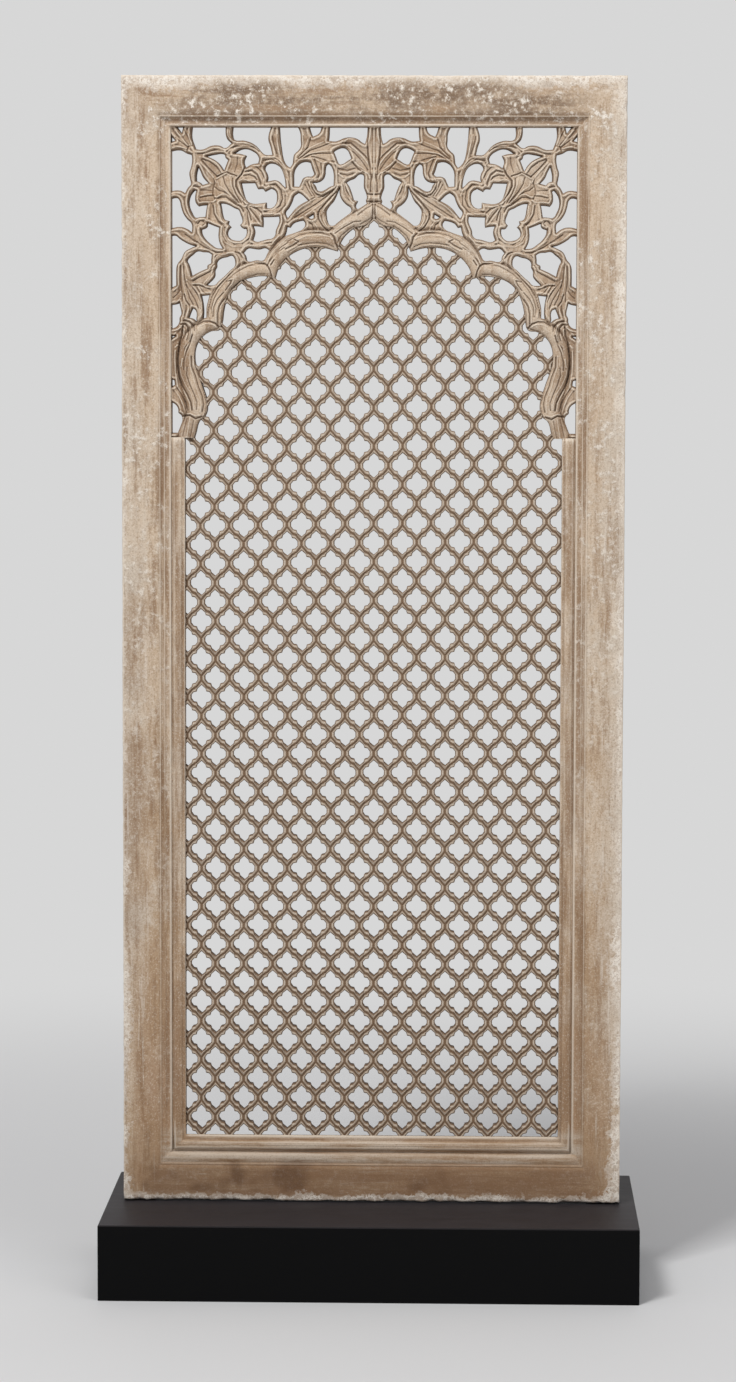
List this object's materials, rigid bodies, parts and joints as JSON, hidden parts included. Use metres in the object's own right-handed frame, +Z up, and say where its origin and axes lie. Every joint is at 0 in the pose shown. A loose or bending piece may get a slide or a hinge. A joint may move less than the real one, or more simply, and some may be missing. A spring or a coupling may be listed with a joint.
{
  "type": "pierced stone screen",
  "caption": "Free-standing carved sandstone jali screen: pierced lattice under a cusped arch with foliage spandrels, on a low black plinth.",
  "frame": {"origin": "on the floor under the middle of the plinth", "axes": "+Z up, the carved front faces -Y, +X to the right of a person who faces the front"},
  "size_m": [0.85, 0.422, 1.922],
  "materials": {
    "sandstone": "worn matt buff sandstone",
    "bedding": "matt sheet",
    "steel": "mill finish bar",
    "black_paint": "matt black paint on board",
    "timber": "bare softwood and board"
  },
  "bodies": {
    "root": {"jali_slab": "sandstone", "bedding_sheet": "bedding", "dowel_left": "steel", "dowel_right": "steel", "tie_bar": "steel", "tie_cleat_left": "timber", "tie_cleat_right": "timber", "plinth_top": "black_paint", "plinth_front": "black_paint", "plinth_back": "black_paint", "plinth_left": "black_paint", "plinth_right": "black_paint", "spine_front": "timber", "spine_back": "timber", "rib_front_left": "timber", "rib_front_right": "timber", "rib_back_left": "timber", "rib_back_right": "timber", "corner_block_front_left": "timber", "corner_block_front_right": "timber", "corner_block_back_left": "timber", "corner_block_back_right": "timber"}
  },
  "joints": []
}
